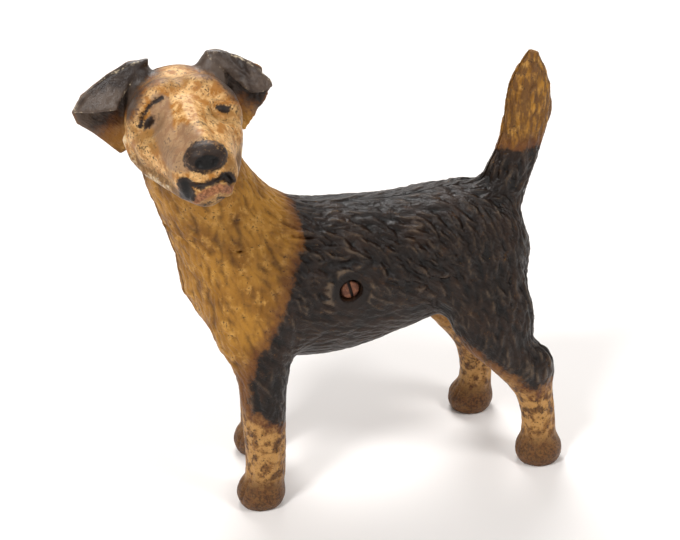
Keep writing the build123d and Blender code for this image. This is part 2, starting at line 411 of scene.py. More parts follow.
def shifted_skull():
    """The skull's stations, as distances along the head's axes from the dog's own origin."""
    home = HEAD_AXES @ HEAD_MIDDLE
    return [(f + home[2], r + home[0], u + home[1], w, h) for f, r, u, w, h in SKULL]


def throat_crease():
    """A shallow fold of fur that crosses the throat, low on the dog's left."""
    angles = np.radians((-200, -165, -130, -100, -75))
    drops = (4, 0.5, -1, 1, 5)
    return [(-60.5 + 20.2 * math.cos(a), 17.4 * math.sin(a), 97.5 + drop - 7.5 * math.cos(a))
            for a, drop in zip(angles, drops)]


def slopes(field, p, step=0.15):
    """The field's gradient at each point."""
    out = np.empty_like(p)
    for axis in range(3):
        nudge = np.zeros(3)
        nudge[axis] = step
        out[:, axis] = (field(p + nudge) - field(p - nudge)) / (2 * step)
    return out


def settle(field, p, rounds=2):
    """Points moved onto the field's zero, and the outward directions there."""
    for _ in range(rounds):
        g = slopes(field, p)
        size = (g ** 2).sum(axis=1) + 1e-6
        step = np.clip(field(p) / size, -0.8, 0.8)
        p = p - step[:, None] * g
    g = slopes(field, p)
    return p, g / (np.linalg.norm(g, axis=1)[:, None] + 1e-9)


# ---- meshing
def steps(low, fine_until, high, first, second):
    """Places along an axis, first apart up to fine_until and second apart beyond it."""
    return np.concatenate((np.arange(low, fine_until, first), np.arange(fine_until, high, second)))


def skin(field, axes):
    """Closed quads round the field's zero, on a grid with those places along X, Y and Z."""
    grid = np.stack(np.meshgrid(*axes, indexing="ij"), axis=-1)
    values = field(grid.reshape(-1, 3)).reshape(grid.shape[:3]).astype(np.float32)
    volume = openvdb.FloatGrid()
    volume.copyFromArray(values)
    points, quads = volume.convertToQuads(0.0)
    places = [np.interp(points[:, i], np.arange(len(line)), line) for i, line in enumerate(axes)]
    return np.stack(places, axis=1), quads.astype(int)


def split_quads(points, quads):
    """One linear subdivision of a closed quad mesh."""
    n = len(points)
    edges = np.sort(np.stack((quads, np.roll(quads, -1, axis=1)), axis=-1).reshape(-1, 2), axis=1)
    pairs, inverse = np.unique(edges, axis=0, return_inverse=True)
    inverse = inverse.reshape(len(quads), 4)
    mids = points[pairs].mean(axis=1)
    centres = points[quads].mean(axis=1)
    mid_ids = n + inverse
    centre_ids = n + len(pairs) + np.arange(len(quads))
    parts = [np.stack((quads[:, i], mid_ids[:, i], centre_ids, mid_ids[:, i - 1]), axis=-1) for i in range(4)]
    return np.concatenate((points, mids, centres)), np.concatenate(parts)


def mesh_object(name, points, faces):
    mesh = bpy.data.meshes.new(name)
    mesh.from_pydata(((points + HOME) * MM).tolist(), [], [list(map(int, f)) for f in faces])
    mesh.update()
    piece = bpy.data.objects.new(name, mesh)
    bpy.context.scene.collection.objects.link(piece)
    return piece


fine, plain = ((FINE, PLAIN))
clay_axes = (steps(-114.0, -40.0, 68.0, fine, plain), np.arange(-66.0, 34.0, (fine + plain) / 2),
             steps(-4.0, 104.0, 176.0, plain, fine))
clay_points, clay_quads = skin(outside, clay_axes)
clay_points, clay_quads = split_quads(clay_points, clay_quads)
clay_points, clay_normals = settle(outside, clay_points)


# ---- fur and cast unevenness
def cell_keys(cells):
    """One scrambled whole number for each cell of a grid."""
    return cells[:, 0] * 73856093 ^ cells[:, 1] * 19349663 ^ cells[:, 2] * 83492791


def tree_of(points):
    tree = kdtree.KDTree(len(points))
    for i, c in enumerate(points):
        tree.insert(c, i)
    tree.balance()
    return tree


def lumps(p, size, seed):
    """Smooth value noise from -1 to 1 with lumps of that size."""
    table = np.random.default_rng(seed).uniform(-1, 1, 4096)
    q = p / size
    base = np.floor(q).astype(int)
    t = q - base
    t = t * t * (3 - 2 * t)
    total = np.zeros(len(p))
    for corner in range(8):
        step = np.array((corner & 1, corner >> 1 & 1, corner >> 2 & 1))
        total += table[cell_keys(base + step) & 4095] * np.prod(np.where(step, t, 1 - t), axis=1)
    return total


def ramp(x, low, high):
    t = np.clip((x - low) / (high - low), 0, 1)
    return t * t * (3 - 2 * t)


def regions(p):
    """How much each point belongs to the head, tail, rear, and legs."""
    head = 1 - ramp((p - HEAD_MIDDLE) @ unit((0.55, 0.35, -0.75)), 6.0, 14.0)
    head *= 1 - ramp(p[:, 0], -62.0, -54.0)
    tail = ramp(p[:, 2], 99.0, 106.0) * ramp(p[:, 0], 26.0, 34.0)
    thigh = ramp(p[:, 0], 8.0, 30.0) * (1 - tail)
    legs = 1 - ramp(p[:, 2], 36.0, 52.0)
    chest = (1 - ramp(p[:, 0], -52.0, -36.0)) * (1 - head)
    return head, tail, thigh, legs, chest


def fur_flow(p):
    """The direction the hair lies in, before it is laid along the skin."""
    head, tail, thigh, legs, chest = regions(p)
    low = 1 - ramp(p[:, 2], 62.0, 82.0)
    sway = lumps(p, 9.0, 5) * 0.45
    dx = 1.0 - 0.75 * thigh - 0.55 * chest - 0.9 * legs + 0.1 * low + sway * 0.4
    dz = -0.75 - 0.9 * thigh - 0.7 * chest - 0.8 * legs + 0.35 * low + sway
    top = ramp(p[:, 2], 98.0, 106.0) * (1 - chest)
    dz = dz * (1 - 0.6 * top)
    flow = np.stack((dx, 0.25 * np.sign(p[:, 1]) * top, dz), axis=1)
    up = np.array(unit(TAIL_LEAN))
    flow = flow * (1 - tail)[:, None] + up * tail[:, None]
    return flow


def fur_depth(p, n):
    """Relief of the hair in millimetres."""
    head, tail, thigh, legs, chest = regions(p)
    side = np.abs(n[:, 1])
    upper = ramp(p[:, 2], 70.0, 86.0)
    depth = 0.55 + 1.35 * upper * ramp(side, 0.3, 0.75)
    depth = depth * (1 - thigh) + (1.0 + 0.45 * ramp(p[:, 0], 36.0, 47.0)) * thigh
    depth = depth * (1 - chest) + 0.75 * chest
    depth = depth * (1 - legs) + 0.35 * legs
    depth = depth * (1 - tail) + 1.1 * tail
    depth = depth * (1 - head)
    screw = np.hypot(p[:, 0] - SCREW_X, p[:, 2] - SCREW_Z)
    return depth * ramp(screw, 6.0, 12.0) * ramp(p[:, 2], 9.0, 16.0)


def on_ears(p):
    """Which points lie out on the ears' flaps."""
    q = in_head(p)
    return ramp(np.abs(q[:, 0]), 17.0, 21.0) * ramp(q[:, 1], 2.0, 6.0) * (np.abs(q[:, 2]) < 8)


def lay_fur(p, n, spacing, length, width, seed, scale=1.0):
    """Overlapping comma-shaped locks: the highest lock at each point, from 0 to about 1 mm."""
    rng = np.random.default_rng(seed)
    depth = fur_depth(p, n)
    flow = fur_flow(p)
    flow -= (flow * n).sum(axis=1)[:, None] * n
    flow /= np.linalg.norm(flow, axis=1)[:, None] + 1e-9
    cells = np.floor(p / spacing).astype(int)
    order = rng.permutation(len(p))
    _, first = np.unique(cell_keys(cells)[order], return_index=True)
    seeds = order[first]
    seeds = seeds[depth[seeds] > 0.03]
    tree = tree_of(p)
    relief = np.zeros(len(p))
    for i in seeds:
        reach = length * rng.uniform(0.75, 1.25) / 2
        half = width * rng.uniform(0.8, 1.2) / 2
        turn, bend = rng.normal(0, 0.25), rng.uniform(-1.3, 1.3)
        along = flow[i] * math.cos(turn) + np.cross(n[i], flow[i]) * math.sin(turn)
        aside = np.cross(n[i], along)
        near = np.array([hit[1] for hit in tree.find_range(p[i], reach)])
        gap = p[near] - p[i]
        a = gap @ along / reach
        b = (gap @ aside - bend * half * (a * a - 0.3)) / half
        lock = np.clip(1 - np.abs(a) ** 2.4, 0, 1) * np.clip(1 - np.abs(b) ** 1.3, 0, 1) * (0.72 + 0.28 * a)
        lock = lock * depth[i] * rng.uniform(0.75, 1.15) * (np.abs(gap @ n[i]) < 3.0)
        relief[near] = np.maximum(relief[near], lock)
    return relief * scale


locks = lay_fur(clay_points, clay_normals, 3.7, 11.0, 3.5, 11)
strands = lay_fur(clay_points, clay_normals, 1.9, 5.0, 1.5, 12, 0.22)
dents = 0.10 * lumps(clay_points, 6.0, 3) + 0.05 * lumps(clay_points, 2.6, 4)
dents -= 0.35 * on_ears(clay_points) * np.clip(lumps(clay_points, 2.4, 6) - 0.1, 0, 1)
fur_limit = 1.25 * fur_depth(clay_points, clay_normals)
fur_height = np.minimum(locks + strands, fur_limit)
fur_share = (fur_height + 0.06) / (fur_limit * 0.88 + 0.16)
lift = fur_height - 0.5 * fur_limit + dents
skin_points = clay_points + clay_normals * lift[:, None]
skin_tree = tree_of(skin_points)


# ---- solids made by turning and cutting
def turned(name, x, z, profile, sides=48, groove=None):
    """A body turned about an axis along Y. Profile rows are y and radius; groove is cut into the radius."""
    angles = np.arange(sides) * 2 * math.pi / sides
    rings = []
    for y, r in profile:
        radius = np.full(sides, float(r))
        if groove:
            radius = radius - groove(angles, y)
        ring = (x + radius * np.cos(angles), np.full(sides, y), z + radius * np.sin(angles))
        rings.append(np.stack(ring, axis=1))
    count = len(rings)
    faces = []
    for i in range(count - 1):
        for j in range(sides):
            k = (j + 1) % sides
            faces.append((i * sides + j, (i + 1) * sides + j, (i + 1) * sides + k, i * sides + k))
    faces.append(tuple(range(sides)))
    faces.append(tuple((count - 1) * sides + j for j in reversed(range(sides))))
    return mesh_object(name, np.concatenate(rings), faces)


def rod(x, z, radius, low, high, sides=48):
    return turned("rod", x, z, ((low, radius), (high, radius)), sides)


def block(low, high, spin, centre):
    """A box between two corners, turned by the matrix spin and then moved to centre."""
    xs, ys, zs = zip(low, high)
    corners = np.array([(x, y, z) for x in xs for y in ys for z in zs], dtype=float)
    corners = corners @ np.array(spin).T + np.array(centre)
    faces = ((0, 1, 3, 2), (4, 6, 7, 5), (0, 4, 5, 1), (2, 3, 7, 6), (0, 2, 6, 4), (1, 5, 7, 3))
    return mesh_object("block", corners, faces)


def half_space(side):
    """A block on one side of the parting plane, whose cutting face is a fine grid."""
    spacing, near, far = 3.0, side * SEAM, side * 90.0
    xs, zs = np.arange(-130.0, 90.0, spacing), np.arange(-12.0, 190.0, spacing)
    points = np.array([(x, y, z) for y in (near, far) for x in xs for z in zs])
    count, rows = len(xs) * len(zs), len(zs)
    faces = []
    for i in range(len(xs) - 1):
        for a in range(i * rows, i * rows + rows - 1):
            corners = (a, a + rows, a + rows + 1, a + 1)
            faces.append(corners)
            faces.append(tuple(count + corner for corner in reversed(corners)))
    ring = [i * rows for i in range(len(xs))] + [(len(xs) - 1) * rows + j for j in range(1, rows)]
    ring += [i * rows + rows - 1 for i in reversed(range(len(xs) - 1))] + list(reversed(range(1, rows - 1)))
    faces += [(b, a, count + a, count + b) for a, b in zip(ring, ring[1:] + ring[:1])]
    return mesh_object("half_space", points, [face[::side] for face in faces])


def combine(piece, tool, operation):
    """The piece joined with, cut by, or kept within the tool, which is used up."""
    modifier = piece.modifiers.new("cut", "BOOLEAN")
    modifier.object = tool
    modifier.operation = operation
    modifier.solver = "MANIFOLD"
    bpy.context.view_layer.update()
    evaluated = piece.evaluated_get(bpy.context.evaluated_depsgraph_get())
    mesh = bpy.data.meshes.new_from_object(evaluated)
    piece.modifiers.clear()
    spent = piece.data
    piece.data = mesh
    bpy.data.meshes.remove(spent)
    used = tool.data
    bpy.data.objects.remove(tool)
    bpy.data.meshes.remove(used)
    return piece


def hollow(points):
    """Distance to the cavity inside the castings."""
    clay = Clay(points)
    clay.add(trunk())
    clay.add(limb(NECK, NECK_LEAN, 2.1), 6.0)
    clay.add(loft(HEAD_AXES[2], HEAD_AXES[0], shifted_skull()[2:6], 2.2), 4.0)
    return clay.d + WALL + 0.5 + 0.12 * lumps(points, 3.0, 8)


PEG_PLACES = ((-62, 73), (40, 88))
POST_RADIUS, POST_END = 4, 14.5
PEG_RADIUS, PEG_LENGTH = 1.6, 3.0
SOCKET_RADIUS, SOCKET_DEPTH = 1.8, 3.5
LEFT_BOSS_RADIUS, RIGHT_BOSS_RADIUS, BOSS_END = 6.5, 5.5, 20.4
HEAD_SEAT_Y = -18.6
TAPPED_END_Y = 15.5
RIM_SHIFT = np.array((-0.4, 0, 0.1))
COIN_SLOT_CENTRE = (-3, 13.8, 97)
COIN_SLOT_SIZE = (27, 3.2, 14)

hollow_step = 2.0
hollow_axes = [np.arange(*span, hollow_step) for span in ((-114.0, 68.0), (-66.0, 34.0), (-4.0, 176.0))]
hollow_points, hollow_quads = skin(hollow, hollow_axes)


def half_shell(name, side):
    """One casting: side -1 is the dog's left, 1 its right."""
    shift = RIM_SHIFT if side > 0 else 0
    shell = mesh_object(name, skin_points + shift, clay_quads)
    combine(shell, mesh_object("cavity", hollow_points, hollow_quads), "DIFFERENCE")
    boss = LEFT_BOSS_RADIUS if side < 0 else RIGHT_BOSS_RADIUS
    combine(shell, rod(SCREW_X, SCREW_Z, boss, *sorted((-side * 1.0, side * BOSS_END))), "UNION")
    for x, z in PEG_PLACES:
        combine(shell, rod(x, z, POST_RADIUS, *sorted((-side * 1.0, side * POST_END))), "UNION")
    combine(shell, half_space(side), "INTERSECT")
    for x, z in PEG_PLACES:
        if side < 0:
            combine(shell, rod(x, z, SOCKET_RADIUS, -SOCKET_DEPTH, 1.0, 24), "DIFFERENCE")
        else:
            tip = -PEG_LENGTH
            profile = ((tip, PEG_RADIUS - 0.4), (tip + 0.4, PEG_RADIUS), (1.5, PEG_RADIUS))
            combine(shell, turned("peg", x, z, profile, 24), "UNION")
    if side < 0:
        combine(shell, rod(SCREW_X, SCREW_Z, CLEARANCE_RADIUS, HEAD_SEAT_Y - 1.0, 2.0, 32), "DIFFERENCE")
        pocket = ((-40.0, POCKET_RADIUS + 0.6), (-23.0, POCKET_RADIUS + 0.6), (-22.3, POCKET_RADIUS),
                  (HEAD_SEAT_Y, POCKET_RADIUS))
        combine(shell, turned("pocket", SCREW_X, SCREW_Z, pocket, 64), "DIFFERENCE")
    else:
        combine(shell, rod(SCREW_X, SCREW_Z, TAPPED_RADIUS, -2.0, TAPPED_END_Y, 32), "DIFFERENCE")
        half = np.array(COIN_SLOT_SIZE) / 2
        lean = Matrix.Rotation(math.radians(-45), 3, "X")
        combine(shell, block(-half, half, lean, COIN_SLOT_CENTRE), "DIFFERENCE")
    shell.name = name
    return shell


# ---- where each paint goes, and the painted shade under the jaw and the ears
SADDLE = ((-36.5, 130), (-36.5, 109), (-36.3, 99.7), (-39.5, 94.6), (-44.2, 82), (-48.6, 71.2), (-54.7, 62.6),
          (-58.4, 52), (-58.0, 41.4), (-45.5, 33), (-36, 33), (-30, 40), (6, 40), (17.2, 57.6), (30.9, 45.6),
          (46.9, 32.4), (54.6, 35.2), (64, 36), (64, 118), (30, 118), (30, 130))
MOUTH_CORNERS = (((-4.8, -16.0), (-5.4, -11.8)), ((6.6, -11.0), (8.4, -11.6), (9.0, -13.2)))
MOUTH_LINE = (-5.2, -11.4), (-1.4, -12.9), (2.2, -12.2), (6.8, -11.4)
LIP_LINE = (-2.4, -17.4), (0.6, -15.2), (4.4, -14.2), (8.0, -15.6)
CHIN_SMUDGES = (((4.2, -17.4), (6.4, -18.6)), ((0.0, -19.8), (1.4, -18.8)))
LEFT_CREASE = (-6.8, 11.3), (-10.4, 9.5), (-13.6, 6.0), (-14.7, 3.4)
RIGHT_CREASE = (8.6, 8.4), (12.6, 7.6), (15.4, 5.2)
PUPILS = ((-11.8, 4.2, 50, 2.7, 1.5), (11.9, 5.2, -22, 2.6, 1.4))   # across, up, lean, half length, width
SMOKE_STRIPS = (((-7.5, 9.5), (-8.2, 3.0), (-7.2, -5.0)), ((-1.6, 1.5), (-3.6, -2.5), (-4.6, -5.0)))
AWAY = -9.0               # stands for far outside a paint


def strokes(r, u, lines, width):
    """How far inside a set of brush strokes each point lies."""
    best = np.full(len(r), -99.0)
    for line in lines:
        for (ax, ay), (bx, by) in zip(line[:-1], line[1:]):
            ex, ey = bx - ax, by - ay
            t = np.clip(((r - ax) * ex + (u - ay) * ey) / (ex * ex + ey * ey), 0, 1)
            best = np.maximum(best, width - np.hypot(r - ax - t * ex, u - ay - t * ey))
    return best


def paint_masks(p, n):
    """Signed millimetres inside each painted area, and a few 0 to 1 shares."""
    x, y, z = p.T
    coat = -outline_distance(x, z, SADDLE)
    inner = np.abs(y) - 14.5
    hind = (x > 12) & (z < 60)
    fore = (x < -36) & (z < 46)
    coat = np.where(hind | fore, np.minimum(coat, inner + np.maximum(z - 50, 0) * 1.5), coat)
    q = in_head(p)
    r, u, f = q.T
    facing = (n @ HEAD_AXES.T)[:, 2]
    on_head = ((q - np.array((0, 0, 8))) ** 2).sum(axis=1) < 46 ** 2
    ear = np.full(len(p), AWAY)
    fold = np.full(len(p), AWAY)
    for side in EARS:
        back, flap = (-outline_distance(r, u, ear_outline(side, part)) for part in ("back", "flap"))
        front = (f > flap_sheet(r, u) - 0.6) & (flap > -1.0)
        behind = facing < -0.15
        root = 3.2 - outline_gap(r * side, u)
        # painted shade: under the flap, the ear's grey is carried into the hollow just below the fold
        inside = np.where(f < 1.5, np.minimum(back, 4.5 - fold_drop(r, u) * 0.3), AWAY)
        lit = np.where(front | behind, np.maximum(back, flap) + 1.5, inside)
        ear = np.maximum(ear, np.where(r * side > 0, np.maximum(lit, root), AWAY))
        fold = np.maximum(fold, np.where((r * side > 0) & front, 0.9 - np.abs(flap), AWAY))
        outer = (r * side > 19.0) & ~front & (f > -7)
        fold = np.maximum(fold, np.where(outer, 0.2 - np.abs(back), AWAY))
    nose = 1.0 - np.sqrt(((r - 1.9) / 7.2) ** 2 + ((u + 4.4) / 5.2) ** 2 + ((f - 43.2) / 5.1) ** 2)
    nostril = 2.6 - np.hypot((r - 1.6) / 1.5, u + 5.4)
    pupils = np.full(len(p), AWAY)
    for across, up, lean, half_length, half_width in PUPILS:
        c, s = math.cos(math.radians(lean)), math.sin(math.radians(lean))
        a = ((r - across) * c + (u - up) * s) / half_length
        b = ((u - up) * c - (r - across) * s) / half_width
        pupils = np.maximum(pupils, (1.0 - np.hypot(a, b)) * half_width)
    muzzle, brow = (f > 34) & (facing > -0.2), (f > 8) & (f < 24)
    ink = np.where(f > 36, nose * 6.0 + 2.0 * np.clip(nostril, 0, 1), AWAY)
    ink = np.maximum(ink, np.where((f > 12) & (f < 30), pupils, AWAY))
    for place, lines, width in ((muzzle, MOUTH_CORNERS[:1], 2.3), (muzzle, MOUTH_CORNERS[1:], 1.7),
                                (muzzle, (MOUTH_LINE,), 1.0), (brow, (LEFT_CREASE,), 0.7),
                                (brow, (RIGHT_CREASE,), 0.1), (f > 32, CHIN_SMUDGES, 0.5)):
        ink = np.maximum(ink, np.where(place, strokes(r, u, lines, width), AWAY))
    lip = np.where(f > 34, strokes(r, u, (LIP_LINE,), 1.5), AWAY)
    smoke = np.where(f > 8, strokes(r, u, SMOKE_STRIPS, 3.4), AWAY)
    rim_gap = np.minimum(*(head_cord(rim, 0.0)[2](p) for rim in (LEFT_JAW_RIM, RIGHT_JAW_RIM)))
    wear = np.maximum(3.1 - rim_gap, fold + 0.4)
    masks = dict(ear=ear, ink=ink, lip=lip, smoke=smoke, wear=wear)
    masks = {name: np.where(on_head, mask, AWAY) for name, mask in masks.items()}
    face = ramp(f + 0.25 * u, -4.0, 4.0)
    off_face = 1 - face * (rim_gap > 3.2)
    masks["coat"] = coat
    # painted shade: a share that darkens the ochre under the jaw and on the throat, where the head shades
    # them
    masks["under_jaw_shade"] = np.where(u < -6, off_face * (1 - ramp(rim_gap, 3.0, 24.0)), 0.0)
    masks["face"] = np.where(on_head, face, 0.0)
    return masks


def outline_gap(r, u):
    """Distance from the crease where the ear meets the forehead."""
    line = ((7.5, 19.5), (13.2, 17.0), (16.4, 12.6), (19.2, 8.5))
    return -strokes(r, u, (line,), 0.0)


def paint(piece, shift):
    """Store the masks on the piece's points."""
    mesh = piece.data
    count = len(mesh.vertices)
    flat = np.empty(count * 3, dtype=np.float32)
    mesh.vertices.foreach_get("co", flat)
    p = flat.reshape(-1, 3).astype(float) / MM - HOME - shift
    mesh.vertices.foreach_get("normal", flat)
    n = flat.reshape(-1, 3).astype(float)
    masks = paint_masks(p, n)
    hits = [skin_tree.find(c) for c in p]
    nearest = np.array([hit[1] for hit in hits])
    gap = np.array([hit[2] for hit in hits])
    masks["fur"] = np.clip(fur_share[nearest], 0, 1)
    masks["iron"] = ramp(gap, 0.9, 1.3)
    for name, values in masks.items():
        layer = mesh.attributes.new(name, "FLOAT", "POINT")
        layer.data.foreach_set("value", values.astype(np.float32))


# ---- materials
def tint(code):
    """A colour written as six hex digits, as linear red, green, blue."""
    parts = [int(code[i:i + 2], 16) / 255 for i in (0, 2, 4)]
    return tuple(c / 12.92 if c < 0.04045 else ((c + 0.055) / 1.055) ** 2.4 for c in parts) + (1.0,)


class Nodes:
    """A short way to write a node tree."""

    def __init__(self, name):
        self.material = bpy.data.materials.new(name)
        self.material.use_nodes = True
        self.tree = self.material.node_tree
        self.tree.nodes.clear()
        place = self.node("TexCoord").outputs["Object"]
        self.mm = self.vector("MULTIPLY", place, (1000.0, 1000.0, 1000.0))

    def node(self, kind, inputs=None, **settings):
        """A shader node with its settings, then its inputs by number or name."""
        node = self.tree.nodes.new("ShaderNode" + kind)
        for key, value in settings.items():
            setattr(node, key, value)
        for key, value in (inputs or {}).items():
            if isinstance(value, bpy.types.NodeSocket):
                self.tree.links.new(value, node.inputs[key])
            else:
                node.inputs[key].default_value = value
        return node

    def vector(self, operation, a, b):
        return self.node("VectorMath", {0: a, 1: b}, operation=operation).outputs[0]

    def math(self, operation, a, b):
        return self.node("Math", {0: a, 1: b}, operation=operation).outputs[0]

    def span(self, value, low, high, to_low=0.0, to_high=1.0):
        """A smooth step from low to high."""
        inputs = dict(enumerate((value, low, high, to_low, to_high)))
        return self.node("MapRange", inputs, interpolation_type="SMOOTHSTEP").outputs[0]

    def mix(self, share, a, b):
        return self.node("Mix", {0: share, 6: a, 7: b}, data_type="RGBA").outputs[2]

    def blend(self, value, low, high, first, second):
        """From one hex colour to another as value goes from low to high."""
        return self.mix(self.span(value, low, high), tint(first), tint(second))

    def over(self, colour, code, *shares):
        """The colour with a hex colour laid over it by the product of the shares."""
        return self.mix(self.product(*shares), colour, tint(code))

    def patch(self, colour, code, value, low, high, *shares):
        """The colour with a hex colour laid over it as value goes from low to high."""
        return self.over(colour, code, self.span(value, low, high), *shares)

    def axes(self):
        """X, Y and Z in millimetres."""
        return self.node("SeparateXYZ", {0: self.mm}).outputs

    def stored(self, name):
        return self.node("Attribute", attribute_name=name).outputs["Fac"]

    def noise(self, size, detail=3.0, rough=0.55, stretch=(1, 1, 1), offset=(0, 0, 0)):
        """Noise whose lumps are about size millimetres, with values near 0.5."""
        place = self.vector("ADD", self.mm, offset)
        place = self.vector("MULTIPLY", place, tuple(1 / (size * s) for s in stretch))
        inputs = {"Vector": place, "Scale": 1.0, "Detail": detail, "Roughness": rough}
        return self.node("TexNoise", inputs).outputs["Fac"]

    def chain(self, operation, values):
        result = values[0]
        for value in values[1:]:
            result = self.math(operation, result, value)
        return result

    def product(self, *values):
        return self.chain("MULTIPLY", values)

    def total(self, *values):
        return self.chain("ADD", values)

    def finish(self, colour, roughness, metallic=0.0, bump=None, bump_depth=0.05, specular=0.5):
        look = {"Base Color": colour, "Roughness": roughness, "Metallic": metallic,
                "Specular IOR Level": specular}
        if bump is not None:
            relief = {"Strength": 1.0, "Distance": bump_depth * MM, "Height": bump}
            look["Normal"] = self.node("Bump", relief).outputs[0]
        shader = self.node("BsdfPrincipled", look)
        self.node("OutputMaterial", {"Surface": shader.outputs[0]})
        return self.material


class Enamel(Nodes):
    """Aged enamel over iron: golden ochre, black saddle, cream wear and bare iron inside, with painted shade
    between the hairs, under the jaw and under the ear folds, and painted highlights on the hair ridges.
    """

    def __init__(self, name, offset):
        super().__init__(name)
        self.noises = dict(
            broad=self.noise(11.0, 3.0, 0.5, offset=offset),
            blotch=self.noise(3.2, 4.0, 0.6, offset=offset),
            fleck=self.noise(0.9, 3.0, 0.6, offset=offset),
            grain=self.noise(0.35, 2.0, 0.6, offset=offset),
            streak=self.noise(1.5, 3.0, 0.6, stretch=(1, 1, 5), offset=offset),
        )
        self.fur, self.face = self.stored("fur"), self.stored("face")
        self.off_face = self.span(self.face, 1.0, 0.0)

    def ragged(self, base, **weights):
        """The base with weighted noises added, which breaks up its edges."""
        noises = [self.product(self.noises[name], weight) for name, weight in weights.items()]
        return self.total(base, *noises)

    def golden(self):
        """Ochre, mottled on the face, with painted shade between the hairs and a little painted highlight on
        their ridges, scuffed on the legs, rusty at the feet.
        """
        broad, blotch, fleck, _, streak = self.noises.values()
        x, _, z = self.axes()
        low_leg = self.span(z, 46.0, 34.0)
        # lighter ochre in random blotches, plus a little painted highlight on the hair ridges
        blotch_and_ridge_light = self.total(blotch, self.product(self.fur, 0.15))
        colour = self.blend(broad, 0.38, 0.62, "86591A", "A8762A")
        colour = self.patch(colour, "C6954A", blotch_and_ridge_light, 0.55, 0.85)
        face_paint = self.blend(blotch, 0.40, 0.60, "A36C2C", "DDB074")
        face_paint = self.patch(face_paint, "94703F", broad, 0.46, 0.62, 0.6)
        mottle = self.ragged(fleck, blotch=0.6, broad=0.3)
        colour = self.mix(self.face, colour, self.patch(face_paint, "5E4526", mottle, 0.98, 1.12, 0.75))
        # painted shade: the ochre is darkened in the valleys between the hairs
        hair_valley_shade = self.ragged(self.fur, fleck=0.4)
        colour = self.patch(colour, "4E3010", hair_valley_shade, 0.8, 0.2, self.off_face, 0.8)
        colour = self.mix(low_leg, colour, self.blend(blotch, 0.42, 0.6, "B88A4E", "85592A"))
        tail_top = self.product(self.span(z, 112.0, 122.0), self.span(x, 20.0, 30.0))
        colour = self.patch(colour, "5F3E1E", streak, 0.62, 0.42, tail_top, 0.85)
        colour = self.patch(colour, "2A1C12", self.ragged(fleck, blotch=0.45), 0.86, 0.93, 0.8)
        wash = self.ragged(blotch, fleck=0.35, broad=0.5)
        colour = self.patch(colour, "3F2917", wash, 0.92, 1.08, low_leg, 0.6)
        scuff = self.ragged(fleck, grain=0.5, blotch=0.35)
        colour = self.patch(colour, "3A2412", scuff, 0.98, 1.1, low_leg, 0.7)
        foot = self.span(self.ragged(z, blotch=8.0), 20.0, 11.0)
        colour = self.mix(self.product(foot, 0.9), colour, self.blend(fleck, 0.4, 0.6, "3E2616", "6E4724"))
        # painted shade under the jaw: the ochre is darkened on the throat where the head shades it
        colour = self.patch(colour, "5C3C12", blotch, 0.75, 0.35, self.stored("under_jaw_shade"), 0.8)
        return self.patch(colour, "8A6E58", self.ragged(self.stored("smoke"), blotch=3.0), 0.9, 2.4, 0.7)

    def black(self):
        """Black-brown with a painted highlight on the hair ridges, painted shade between the hairs, and a few
        specks of gold.
        """
        broad, blotch, _, grain, _ = self.noises.values()
        colour = self.blend(broad, 0.42, 0.66, "150A04", "24150B")
        colour = self.patch(colour, "40260F", blotch, 0.52, 0.74, 0.4)
        # painted highlight on the hair ridges, then painted shade in the valleys between them
        colour = self.patch(colour, "705D4A", self.ragged(self.fur, fleck=0.4), 0.75, 1.3, 0.75)
        colour = self.patch(colour, "040201", self.fur, 0.5, 0.1, 0.9)
        return self.patch(colour, "9C7436", self.ragged(grain, blotch=0.6), 1.06, 1.09)

    def coat(self):
        """The colour of the coat and ears, and the share of it that is black."""
        edge = self.ragged(self.stored("coat"), blotch=7.0, fleck=3.0)
        ear_edge = self.ragged(self.stored("ear"), blotch=3.0, fleck=1.5)
        saddle, ear = self.span(edge, 3.8, 6.4), self.span(ear_edge, 1.4, 3.4)
        reddish = self.math("MAXIMUM", self.span(edge, -1.0, 4.5), self.span(ear_edge, 0.0, 2.5))
        colour = self.over(self.golden(), "5B3119", reddish, 0.72)
        colour = self.mix(saddle, colour, self.black())
        leather = self.ragged(self.noises["broad"], blotch=0.6)
        colour = self.mix(ear, colour, self.blend(leather, 0.62, 0.98, "2C211B", "5A4C42"))
        return colour, self.math("MAXIMUM", saddle, ear)

    def hair(self):
        """Fine noise drawn out along the lie of the coat."""
        turn = {"Vector": self.mm, "Angle": math.radians(-40)}
        lean = self.node("VectorRotate", turn, rotation_type="Y_AXIS").outputs[0]
        place = self.vector("MULTIPLY", lean, (0.22, 1.1, 1.3))
        return self.node("TexNoise", {"Vector": place, "Scale": 1.0, "Detail": 3.0}).outputs["Fac"]

    def cover(self):
        """The coat with its features, wear and bare iron."""
        _, blotch, fleck, _, _ = self.noises.values()
        colour, gloss = self.coat()
        lip = self.span(self.ragged(self.stored("lip"), fleck=1.5), 0.4, 1.3)
        colour = self.mix(lip, colour, self.blend(fleck, 0.4, 0.62, "74482C", "A56F49"))
        ink = self.ragged(self.stored("ink"), fleck=1.8, blotch=1.0)
        colour = self.mix(self.span(ink, 1.05, 1.85), colour, self.blend(ink, 1.9, 3.2, "2A1C13", "060403"))
        worn = self.span(self.ragged(self.stored("wear"), blotch=3.4, fleck=3.0), 4.3, 5.6)
        colour = self.over(colour, "EBD7B4", worn, 0.8)
        iron = self.stored("iron")
        bare = self.blend(blotch, 0.4, 0.62, "3A302B", "5A3D2A")
        colour = self.mix(iron, colour, self.patch(bare, "6E4A31", fleck, 0.5, 0.7))
        roughness = self.ragged(self.span(gloss, 0.0, 1.0, 0.40, 0.27), blotch=0.16)
        roughness = self.math("MAXIMUM", roughness, self.product(iron, 0.8))
        relief = self.ragged(self.product(worn, -0.35), fleck=0.6, grain=0.35, blotch=0.5)
        hair = self.product(self.hair(), self.off_face, 1.6)
        relief = self.total(relief, hair, self.product(self.fur, 2.9))
        specular = self.span(gloss, 0.0, 1.0, 0.27, 0.30)
        return self.finish(colour, roughness, bump=relief, bump_depth=0.25, specular=specular)


